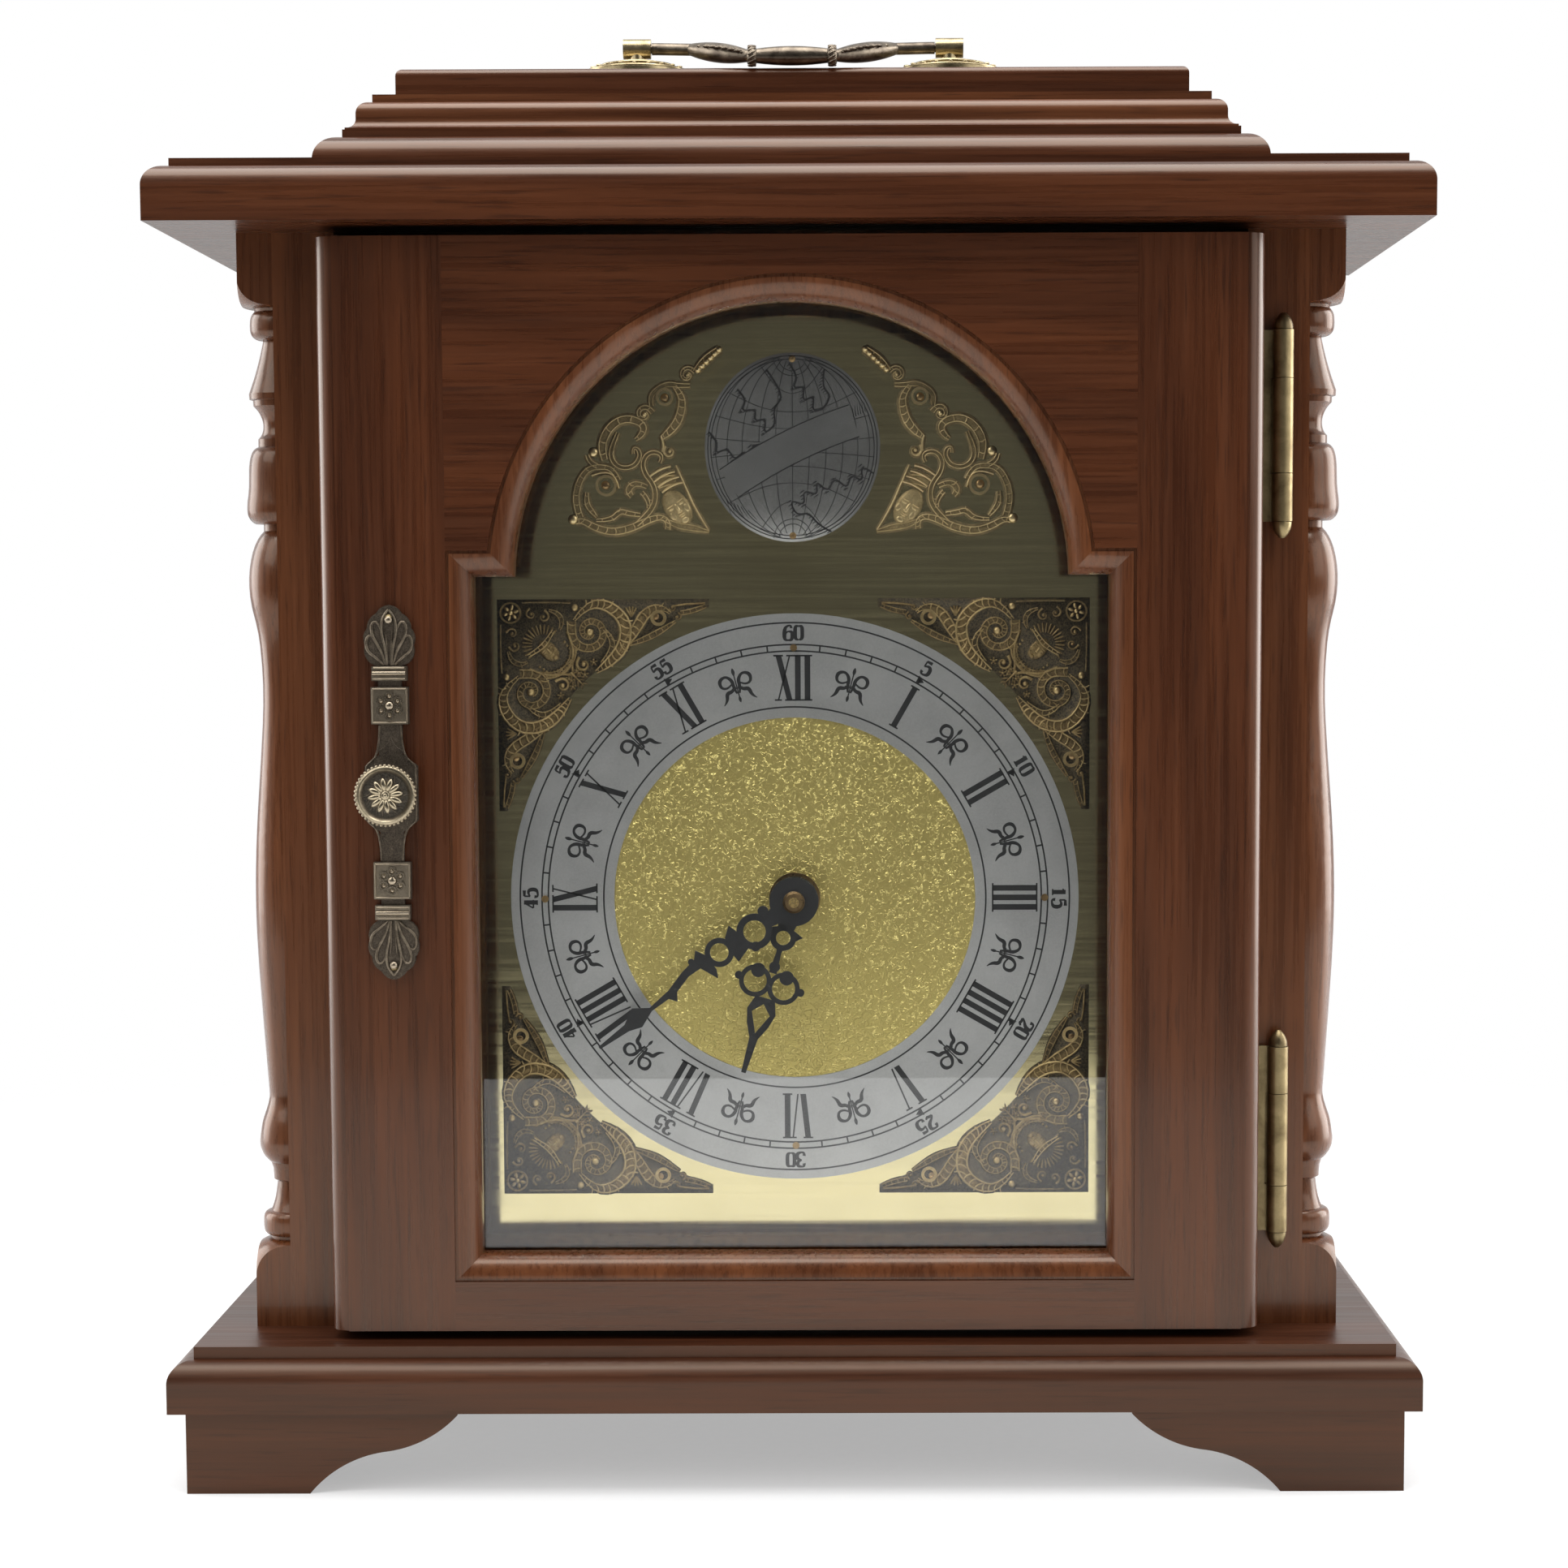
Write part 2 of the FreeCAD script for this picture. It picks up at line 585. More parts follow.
# The spindle in stretches: each is ("line" or "curve", points), a point being the share of
# the case height and the share of the column's half square.
COLUMN_OUTLINE = [
    ("curve", [(0.044, 1.42), (0.0605, 1.34), (0.0735, 1.08), (0.0790, 0.72)]),
    ("line", [(0.0790, 0.72), (0.0815, 0.72)]),
    ("curve", [(0.0815, 0.72), (0.0835, 0.86), (0.0930, 0.925), (0.1025, 0.86), (0.1045, 0.70)]),
    ("curve", [(0.1045, 0.70), (0.1130, 0.60), (0.1250, 0.53), (0.1320, 0.50)]),
    ("line", [(0.1320, 0.50), (0.1340, 0.60), (0.1440, 0.62), (0.1500, 0.68)]),
    ("curve", [(0.1500, 0.68), (0.1560, 0.86), (0.1670, 0.985), (0.1760, 0.965), (0.1900, 0.88),
               (0.2020, 0.75), (0.2160, 0.69)]),
    ("curve", [(0.2160, 0.69), (0.2900, 0.84), (0.3915, 0.97), (0.4700, 0.88), (0.5470, 0.70),
               (0.5840, 0.65), (0.6210, 0.69), (0.6460, 0.79), (0.6640, 0.92), (0.6780, 0.98),
               (0.6920, 0.985), (0.7080, 0.92), (0.7290, 0.66), (0.7335, 0.54)]),
    ("line", [(0.7335, 0.54), (0.7395, 0.54), (0.7400, 0.77)]),
    ("curve", [(0.7400, 0.77), (0.7440, 0.92), (0.7690, 0.955), (0.7960, 0.91), (0.8080, 0.76),
               (0.8100, 0.65)]),
    ("line", [(0.8100, 0.65), (0.8170, 0.65)]),
    ("curve", [(0.8170, 0.65), (0.8220, 0.54), (0.8290, 0.50), (0.8370, 0.55), (0.8470, 0.77)]),
    ("line", [(0.8470, 0.77), (0.8520, 0.78), (0.8530, 0.88), (0.8580, 0.89)]),
    ("curve", [(0.8580, 0.89), (0.8800, 0.66), (0.9060, 0.46)]),
    ("line", [(0.9060, 0.46), (0.9065, 0.60)]),
    ("curve", [(0.9065, 0.60), (0.9120, 0.80), (0.9200, 0.83), (0.9280, 0.79), (0.9320, 0.69)]),
    ("line", [(0.9320, 0.69), (0.9345, 0.72)]),
    ("curve", [(0.9345, 0.72), (0.9370, 1.06), (0.9470, 1.33), (0.9620, 1.42)]),
]


def spindle_edges():
    """The edges of the spindle's outline from foot to top, then down its axis."""
    reach, rise = float(S.column_half), float(S.case_height)
    edges = []
    for kind, shares in COLUMN_OUTLINE:
        points = [Vector(reach * radius, 0, rise * height) for height, radius in shares]
        if kind == "curve":
            line = Part.BSplineCurve()
            line.interpolate(points)
            edges.append(line.toShape())
        else:
            edges.extend(Part.LineSegment(a, b).toShape() for a, b in zip(points, points[1:]))
    return edges


def split_column():
    """The right column: a square-ended spindle, split so that its outer half shows."""
    reach, rise = float(S.column_half), float(S.case_height)
    edges = spindle_edges()
    first = edges[0].Vertexes[0].Point
    last = edges[-1].Vertexes[-1].Point
    corners = [last, Vector(last.x, 0, rise), Vector(0, 0, rise), Vector(0, 0, 0),
               Vector(first.x, 0, 0), first]
    edges.extend(Part.LineSegment(a, b).toShape() for a, b in zip(corners, corners[1:]))
    spindle = Part.Face(Part.Wire(edges)).revolve(Vector(0, 0, 0), Vector(0, 0, 1), 360)
    half_square = Part.makeBox(reach, reach * 2, rise, Vector(0, -reach, 0))
    return spindle.common(half_square)


def column_pieces():
    """The two split columns on the case sides."""
    right = shaped("column_right", split_column(), S.case_half_width, FRONT + S.column_half,
                   BASE_TOP)
    return [mirrored("column_left", right), right]


# Dial

def break_arch(half_width, low, shoulder, radius, drop):
    """A break-arch outline in X and Z, whose arch is centred a drop below its shoulders."""
    foot = root(radius * radius - drop * drop)
    return [(-half_width, low), (half_width, low), (half_width, shoulder),
            (foot, shoulder, radius), (ZERO, shoulder - drop + radius, radius),
            (-foot, shoulder), (-half_width, shoulder)]


def spandrel_corners(side, end):
    """A corner ornament's outline: two straight edges and a hollow that follows the ring."""
    corner_x = side * (S.ring_radius + S.spandrel_side_margin)
    corner_z = DIAL_Z + end * (S.ring_radius + S.spandrel_rise_margin)
    leg = S.ring_radius - S.spandrel_tip_margin
    tip_x = corner_x - side * leg
    tip_z = corner_z - end * leg
    near = S.spandrel_tip
    hollow = S.ring_radius + S.spandrel_gap + near
    turn = side * end
    return [(corner_x, corner_z), (tip_x, corner_z), (tip_x, corner_z - end * near, -turn * hollow),
            (corner_x - side * near, tip_z), (corner_x, tip_z)]


# Arch ornament: shares of its width from the inner tip outwards and of its height from below.
ARCH_SPANDREL_SHARES = [
    (0.00, 0.00), (0.22, 0.02), (0.34, 0.05), (0.60, 0.02), (0.95, 0.04), (1.00, 0.12),
    (0.90, 0.34), (0.76, 0.54), (0.58, 0.68), (0.36, 0.80), (0.16, 0.93), (-0.06, 1.00),
    (0.06, 0.84), (0.24, 0.66), (0.34, 0.48), (0.27, 0.32), (0.10, 0.16),
]


def arch_spandrel_corners(side):
    """The arch ornament's outline."""
    inner = S.arch_spandrel_reach - S.arch_spandrel_width / 2
    low = DIAL_Z + S.arch_spandrel_rise - S.arch_spandrel_height / 2
    return [(side * (inner + S.arch_spandrel_width * u), low + S.arch_spandrel_height * v)
            for u, v in ARCH_SPANDREL_SHARES]


def dial_pieces():
    """The dial board on its cleats, the plate, and what is mounted on the plate."""
    half = CASE_INNER - S.board_fit
    board = box("dial_board_blank", (-half, half), (PLATE_BACK, BOARD_BACK),
                (BASE_TOP + S.board_fit, CASE_TOP - S.board_fit))
    hole = S.bush_radius + S.bush_fit
    bore = rod("dial_board_bore", hole, S.panel_thickness + S.overrun * 2, ZERO,
               PLATE_BACK - S.overrun, DIAL_Z, ALONG_Y)
    dial_board = cut("dial_board", board, bore)

    cleat = box("cleat_right", (CASE_INNER - S.cleat_width, CASE_INNER),
                (BOARD_BACK, BOARD_BACK + S.cleat_depth),
                (BASE_TOP + S.cleat_end_gap, CASE_TOP - S.cleat_end_gap))
    cleats = group("dial_cleats", cleat, mirrored("cleat_left", cleat))

    corners = break_arch(OPENING_HALF - S.plate_side_margin, DIAL_Z - S.plate_foot,
                         DIAL_Z + S.plate_shoulder, ARCH_RADIUS + S.plate_arch_margin,
                         S.plate_arch_drop)
    plate = prism("dial_plate", "XZ_Plane", (PLATE_FRONT, PLATE_BACK), corners,
                  [(ZERO, DIAL_Z, hole)])
    ring_bore = S.ring_radius - S.ring_width
    ring = prism("chapter_ring", "XZ_Plane", (PLATE_FRONT - S.ring_thickness, PLATE_FRONT), None,
                 [(ZERO, DIAL_Z, S.ring_radius), (ZERO, DIAL_Z, ring_bore)])
    centre = prism("dial_centre", "XZ_Plane", (PLATE_FRONT - S.centre_thickness, PLATE_FRONT), None,
                   [(ZERO, DIAL_Z, ring_bore), (ZERO, DIAL_Z, hole)])

    oval = Part.Ellipse(Vector(0, 0, 0), float(S.globe_half_height), float(S.globe_half_width))
    globe = Part.Face(Part.Wire(oval.toShape())).extrude(Vector(0, 0, float(S.globe_thickness)))
    globe = shaped("globe_disc", globe, ZERO, PLATE_FRONT, DIAL_Z + S.globe_rise,
                   TOWARDS_FRONT * Rotation(Vector(0, 0, 1), 90))

    front = PLATE_FRONT - S.spandrel_thickness
    corners = [prism(f"corner_spandrel_{number}", "XZ_Plane", (front, PLATE_FRONT),
                     spandrel_corners(side, end))
               for number, (side, end) in enumerate(((-1, 1), (1, 1), (-1, -1), (1, -1)))]
    front = PLATE_FRONT - S.arch_spandrel_thickness
    arches = [prism(f"arch_spandrel_{number}", "XZ_Plane", (front, PLATE_FRONT),
                    arch_spandrel_corners(side))
              for number, side in enumerate((-1, 1))]

    screw_back = PLATE_FRONT - S.ring_thickness
    circle = S.ring_radius - S.dial_screw_margin
    screws = []
    for number, (side, rise) in enumerate(((0, 1), (1, 0), (0, -1), (-1, 0))):
        screws.append(rod(f"dial_screw_{number}", S.dial_screw_radius, S.dial_screw_height,
                          side * circle, screw_back, DIAL_Z + rise * circle, TOWARDS_FRONT))
    return [dial_board, cleats, plate, ring, centre, globe,
            group("corner_spandrels", *corners), group("arch_spandrels", *arches),
            group("dial_screws", *screws)]


# Door

def facing(corners, flip):
    """The corners, with their arcs turned the other way where the outline is mirrored."""
    if not flip:
        return corners
    return [corner[:2] + tuple(-radius for radius in corner[2:]) for corner in corners]


def lining(name, width, section):
    """Mitred lengths that line the door's opening: (inward distance, y) sections.

    The lengths are the foot, two uprights, two shoulders and the arch.
    """
    half, low, high = OPENING_HALF, OPENING_LOW, SHOULDER
    foot = root(ARCH_RADIUS * ARCH_RADIUS - S.arch_centre_drop * S.arch_centre_drop)
    inner = ARCH_RADIUS - width
    dip = S.arch_centre_drop - width
    inner_foot = root(inner * inner - dip * dip)
    y_span = (DOOR_FRONT - S.overrun, DOOR_BACK + S.overrun)

    def trimmed(tag, bar, outline):
        return common(f"{name}_{tag}", bar, prism(f"{name}_{tag}_mitre", "XZ_Plane", y_span, outline))

    bar = prism(f"{name}_foot_bar", "YZ_Plane", (-half, half),
                facing([(c[1], low + c[0]) + tuple(c[2:]) for c in section], True))
    pieces = [trimmed("foot", bar, [(-half, low), (half, low), (half - width, low + width),
                                    (width - half, low + width)])]
    bar = prism(f"{name}_upright_bar", "XY_Plane", (low, high),
                facing([(half - c[0], c[1]) + tuple(c[2:]) for c in section], True))
    upright = trimmed("upright", bar, [(half, low), (half, high), (half - width, high - width),
                                       (half - width, low + width)])
    bar = prism(f"{name}_shoulder_bar", "YZ_Plane", (ZERO, half),
                [(c[1], high - c[0]) + tuple(c[2:]) for c in section])
    shoulder = trimmed("shoulder", bar, [(foot, high), (half, high), (half - width, high - width),
                                         (inner_foot, high - width)])
    ring = turned(f"{name}_arch_ring",
                  facing([(ARCH_RADIUS - c[0], c[1] - DOOR_FRONT) + tuple(c[2:])
                          for c in section], True))
    place(ring, ZERO, DOOR_FRONT, ARCH_CENTRE, ALONG_Y)
    reach = ARCH_RADIUS + S.overrun
    top = ARCH_CENTRE + reach
    arch = trimmed("arch", ring, [(-inner_foot, high - width), (inner_foot, high - width),
                                  (foot, high), (reach, high), (reach, top), (-reach, top),
                                  (-reach, high), (-foot, high)])
    pieces += [upright, mirrored(f"{name}_upright_left", upright), shoulder,
               mirrored(f"{name}_shoulder_left", shoulder), arch]
    return group(name, *pieces)


def door_pieces():
    """The door's frame, its moulding, the glass and the beads that hold it."""
    half, edge = OPENING_HALF, DOOR_HALF
    rim, ease = DOOR_FRONT + S.door_quirk, S.door_edge_round
    plan = [(half, DOOR_BACK), (half, DOOR_FRONT), (edge - ease, DOOR_FRONT), (edge - ease, rim, ease),
            (edge, rim + ease), (edge, DOOR_BACK)]
    span = (DOOR_LOW, DOOR_TOP)
    stile = prism("door_stile_blank", "XY_Plane", span, plan)
    leaf_edge = HINGE_X - S.hinge_leaf_end
    mortises = []
    for tag, height in (("upper", HINGE_UPPER_Z), ("lower", HINGE_LOWER_Z)):
        mortises.append(box(f"leaf_mortise_{tag}",
                            (leaf_edge - S.hinge_leaf_width - S.leaf_fit, edge + S.overrun),
                            (DOOR_BACK - S.leaf_mortise, DOOR_BACK + S.overrun),
                            (height - S.hinge_length / 2 - S.leaf_fit,
                             height + S.hinge_length / 2 + S.leaf_fit)))
    stile_right = cut("door_stile_right", stile, *mortises)

    blank = mirrored("door_stile_left_blank", stile)
    depth = S.door_thickness + S.overrun * 2
    back = DOOR_BACK + S.overrun
    holes = [rod("pull_bolt_hole", S.knob_bolt_radius, depth, -PULL_X, back, PULL_Z,
                 TOWARDS_FRONT),
             rod("pull_bolt_counterbore", S.knob_bolt_head + S.leaf_fit,
                 S.knob_bolt_depth + S.overrun, -PULL_X, back, PULL_Z, TOWARDS_FRONT)]
    reach = S.pull_length / 2 - S.pull_rivet_inset
    for tag, height in (("upper", PULL_Z + reach), ("lower", PULL_Z - reach)):
        holes.append(rod(f"pull_pin_hole_{tag}", S.pull_pin_radius,
                         S.pull_rivet_length + S.overrun, -PULL_X,
                         DOOR_FRONT + S.pull_rivet_length, height, TOWARDS_FRONT))
    stile_left = cut("door_stile_left", blank, *holes)

    y_span = (DOOR_FRONT, DOOR_BACK)
    foot = root(ARCH_RADIUS * ARCH_RADIUS - S.arch_centre_drop * S.arch_centre_drop)
    top_rail = prism("door_top_rail", "XZ_Plane", y_span,
                     [(-half, SHOULDER), (-foot, SHOULDER, -ARCH_RADIUS),
                      (ZERO, ARCH_CENTRE + ARCH_RADIUS, -ARCH_RADIUS), (foot, SHOULDER),
                      (half, SHOULDER), (half, DOOR_TOP), (-half, DOOR_TOP)])
    bottom_rail = box("door_bottom_rail", (-half, half), y_span, (DOOR_LOW, OPENING_LOW))

    gap = S.glass_clearance
    glass = prism("glass_pane", "XZ_Plane", (GLASS_FRONT, GLASS_BACK),
                  break_arch(half - gap, OPENING_LOW + gap, SHOULDER - gap,
                             ARCH_RADIUS - gap, S.arch_centre_drop - gap))
    front = DOOR_FRONT
    start = front + S.moulding_depth - S.moulding_round - S.sight_edge
    moulding = lining("door_moulding", S.moulding_width, [
        (ZERO, front + S.door_quirk), (S.door_quirk, front + S.door_quirk),
        (S.door_quirk, start, S.moulding_round),
        (S.door_quirk + S.moulding_round, start + S.moulding_round),
        (S.moulding_width, front + S.moulding_depth), (ZERO, front + S.moulding_depth)])
    low = GLASS_BACK + S.glass_gap
    beads = lining("glass_beads", S.bead_width, [
        (ZERO, low), (S.bead_width, low), (S.bead_width, low + S.bead_depth / 2),
        (S.bead_width / 2, low + S.bead_depth), (ZERO, low + S.bead_depth)])
    return [stile_left, stile_right, top_rail, bottom_rail, moulding, glass, beads]


# Hinges

def hinge_pieces(tag, height):
    """A three-knuckle hinge: the case leaf, the door leaf and the pin with its finials."""
    axis_x, axis_y = HINGE_X, FRONT - S.hinge_axis_front
    half = S.hinge_length / 2
    split = half - S.hinge_end_knuckle
    gap = S.knuckle_gap / 2
    edge = axis_x - S.hinge_leaf_end
    name = f"hinge_{tag}"
    bore = rod(f"{name}_bore", S.hinge_pin_radius + S.hinge_fit, S.hinge_length + S.overrun * 2,
               axis_x, axis_y, height - half - S.overrun)

    spans = {"middle": (height - split + gap, height + split - gap),
             "low": (height - half, height - split - gap),
             "high": (height + split + gap, height + half)}

    def knuckle(part, y_span):
        low, high = spans[part]
        barrel = rod(f"{name}_{part}_knuckle", S.knuckle_radius, high - low, axis_x, axis_y, low)
        tab = box(f"{name}_{part}_tab", (edge, axis_x), y_span, (low, high))
        return [barrel, tab]

    case_y = (FRONT - S.hinge_leaf, FRONT)
    plate = box(f"{name}_case_plate", (edge - S.case_leaf_width, edge), case_y,
                (height - half, height + half))
    case_leaf = cut(f"{name}_case_leaf", fuse(f"{name}_case_blank", plate,
                                              *knuckle("middle", case_y)), bore)
    floor = DOOR_BACK - S.leaf_mortise
    door_y = (floor, floor + S.hinge_leaf)
    plate = box(f"{name}_door_plate", (edge - S.hinge_leaf_width, edge), door_y,
                (height - half, height + half))
    door_leaf = cut(f"{name}_door_leaf", fuse(f"{name}_door_blank", plate,
                                              *knuckle("low", door_y), *knuckle("high", door_y)), bore)
    shank, tip, flat = S.hinge_pin_radius, S.hinge_tip_radius, S.hinge_tip_flat
    end = half + S.knuckle_gap
    bullet = S.hinge_tip * S.hinge_tip_bend_share
    pin = turned(f"{name}_pin", [
        (ZERO, -end - S.hinge_tip), (flat, -end - S.hinge_tip, bullet), (tip, -end), (shank, -end),
        (shank, end), (tip, end, bullet), (flat, end + S.hinge_tip), (ZERO, end + S.hinge_tip)])
    place(pin, axis_x, axis_y, height)
    return [case_leaf, door_leaf, pin]


# Door pull and catch

# Palmette at each end of the pull: shares of its half width and its length.
PALMETTE_SHARES = [(0.46, 0.0), (1.0, 0.34), (0.90, 0.62), (0.52, 0.86), (0.0, 1.0)]


def pull_pieces():
    """The pull's back plate, its knob, and the bolt and pins that hold them."""
    back, front = DOOR_FRONT, DOOR_FRONT - S.pull_thickness
    x, z = -PULL_X, PULL_Z
    wide, long, waist = S.pull_lozenge_width / 2, S.pull_lozenge_length / 2, S.pull_waist / 2
    ogee = long * S.pull_ogee_share
    outline = [(x - wide, z - long + ogee), (x - waist, z - long), (x + waist, z - long),
               (x + wide, z - long + ogee), (x + wide, z + long - ogee), (x + waist, z + long),
               (x - waist, z + long), (x - wide, z + long - ogee)]
    items = [prism("pull_lozenge", "XZ_Plane", (front, back), outline)]
    shell_low = S.pull_length / 2 - S.pull_shell_length
    items.append(box("pull_spine", (x - waist, x + waist), (front, back),
                     (z - shell_low - S.overrun, z + shell_low + S.overrun)))
    half, lobe = S.pull_shell_width / 2, S.pull_shell_length * S.pull_lobe_share
    proud = DOOR_FRONT - S.pull_block_thickness
    for tag, end in (("upper", 1), ("lower", -1)):
        middle = z + end * S.pull_block_height
        items.append(box(f"pull_block_{tag}", (x - S.pull_block / 2, x + S.pull_block / 2),
                         (proud, back), (middle - S.pull_block / 2, middle + S.pull_block / 2)))
        low = shell_low - S.pull_collar_length
        span = (z + low, z + shell_low) if end > 0 else (z - shell_low, z - low)
        items.append(box(f"pull_collar_{tag}", (x - S.pull_collar_width / 2,
                                                x + S.pull_collar_width / 2), (proud, back), span))
        right = [(x + half * u, z + end * (shell_low + S.pull_shell_length * v), lobe * end)
                 for u, v in PALMETTE_SHARES[:-1]]
        left = [(x - half * u, z + end * (shell_low + S.pull_shell_length * v), lobe * end)
                for u, v in reversed(PALMETTE_SHARES)]
        left[-1] = left[-1][:2]
        items.append(prism(f"pull_palmette_{tag}", "XZ_Plane", (front, back), right + left))
    plate = fuse("pull_plate_blank", *items)
    hole = rod("pull_plate_hole", S.knob_bolt_radius, S.pull_thickness + S.overrun * 2, x,
               back + S.overrun, z, TOWARDS_FRONT)
    reach = S.pull_length / 2 - S.pull_rivet_inset
    pins, pin_holes = [], []
    for tag, end in (("upper", 1), ("lower", -1)):
        height = z + end * reach
        pin_holes.append(rod(f"pull_plate_pin_hole_{tag}", S.pull_pin_radius,
                             S.pull_thickness + S.overrun * 2, x, back + S.overrun, height,
                             TOWARDS_FRONT))
        shank = rod(f"pull_pin_shank_{tag}", S.pull_pin_radius,
                    S.pull_thickness + S.pull_rivet_length, x, back + S.pull_rivet_length, height,
                    TOWARDS_FRONT)
        head = domed(f"pull_pin_head_{tag}", S.pull_rivet_radius, S.pull_rivet_height)
        place(head, x, front, height, TOWARDS_FRONT)
        pins.append(fuse(f"pull_pin_{tag}", shank, head))
    pull_plate = cut("pull_plate", plate, hole, *pin_holes)

    rim, neck, radius, length = S.knob_rim, S.knob_neck_radius, S.knob_radius, S.knob_length
    dish = length - rim
    flower, rise = S.knob_flower_radius, S.knob_flower_height
    bend = (flower * flower + rise * rise) / (rise * 2)
    screw, depth = S.knob_bolt_radius, S.knob_bolt_grip
    knob = turned("pull_knob", [
        (screw, ZERO), (S.knob_foot_radius, ZERO), (neck, rim), (neck, length - S.knob_head - rim),
        (radius - rim, length - S.knob_head), (radius, length - S.knob_head + rim),
        (radius, length - rim, rim), (radius - rim, length), (radius - rim * 2, dish),
        (flower, dish, bend), (ZERO, dish + rise), (ZERO, depth), (screw, depth)])
    place(knob, x, front, z, TOWARDS_FRONT)

    head_front = DOOR_BACK - S.knob_bolt_depth
    shank = rod("pull_bolt_shank", S.knob_bolt_radius,
                S.door_thickness - S.knob_bolt_depth + S.pull_thickness + S.knob_bolt_grip, x,
                head_front, z, TOWARDS_FRONT)
    head = rod("pull_bolt_head", S.knob_bolt_head, S.knob_bolt_depth / 2, x, head_front, z, ALONG_Y)
    bolt = fuse("pull_bolt", shank, head)
    screws = group("pull_screws", bolt, *pins)

    offset = DOOR_HALF - S.strike_inset
    strike = box("door_strike", (-offset - S.strike_width / 2, -offset + S.strike_width / 2),
                 (DOOR_BACK, DOOR_BACK + S.strike_thickness),
                 (z - S.strike_length / 2, z + S.strike_length / 2))
    catch = box("magnet_catch", (-CASE_INNER, -CASE_INNER + S.catch_width),
                (FRONT + S.catch_setback, FRONT + S.catch_setback + S.catch_depth),
                (z - S.catch_length / 2, z + S.catch_length / 2))
    return [pull_plate, knob, screws, strike, catch]


# Carrying handle

def handle_pieces():
    """The rosettes and posts on the crown, and the bail that swings in them."""
    axis = CAP_TOP + S.post_height
    rosettes, posts = [], []
    for hand, side in (("left", -1), ("right", 1)):
        x = side * S.handle_half_span
        radius, rim = S.rosette_radius, S.rosette_rim
        boss = S.rosette_boss_radius
        rosette = turned(f"rosette_{hand}", [
            (ZERO, ZERO), (radius, ZERO), (radius, rim), (boss, S.rosette_dome), (ZERO, S.rosette_dome)])
        rosettes.append(place(rosette, x, ZERO, CAP_TOP))
        neck = rod(f"post_neck_{hand}", S.post_neck_radius, S.post_height - S.rosette_dome, x,
                   ZERO, CAP_TOP + S.rosette_dome)
        head = rod(f"post_head_{hand}", S.post_head_radius, S.post_head_length,
                   x - S.post_head_length / 2, ZERO, axis, ALONG_X)
        inner = S.handle_half_span - S.post_head_length / 2
        start = inner - S.overrun if side > 0 else -inner - S.bail_pin_depth
        bore = rod(f"post_bore_{hand}", S.bail_pin_radius + S.bail_fit,
                   S.bail_pin_depth + S.overrun, start, ZERO, axis, ALONG_X)
        posts.append(cut(f"post_{hand}", fuse(f"post_blank_{hand}", neck, head), bore))
    rise = float(S.post_height - S.bail_rest_gap - S.bail_collar_radius)
    lean = Rotation(Vector(1, 0, 0), math.degrees(math.asin(rise / float(S.bail_drop))))
    return [group("handle_rosettes", *rosettes), group("handle_posts", *posts),
            shaped("handle_bail", bail_shape(), ZERO, ZERO, axis, lean)]


def spun(outline):
    """A solid turned about its own X axis from points and bulges in length and radius.

    A point is (length, radius), or (length, radius, bulge) where the stretch to the next
    point bulges to that radius half way.
    """
    edges = []
    for first, second in zip(outline, outline[1:]):
        start, end = Vector(first[0], first[1], 0), Vector(second[0], second[1], 0)
        if len(first) == 3:
            middle = Vector((first[0] + second[0]) / 2, first[2], 0)
            edges.append(Part.Arc(start, middle, end).toShape())
        else:
            edges.append(Part.LineSegment(start, end).toShape())
    ends = [Vector(outline[-1][0], outline[-1][1], 0), Vector(outline[-1][0], 0, 0),
            Vector(outline[0][0], 0, 0), Vector(outline[0][0], outline[0][1], 0)]
    edges.extend(Part.LineSegment(a, b).toShape() for a, b in zip(ends, ends[1:]) if a != b)
    return Part.Face(Part.Wire(edges)).revolve(Vector(0, 0, 0), Vector(1, 0, 0), 360)


def between(solid, start, end):
    """The solid turned and moved so that its X axis runs from start towards end."""
    placed = solid.copy()
    placed.Placement = Placement(start, Rotation(Vector(1, 0, 0), end - start))
    return placed


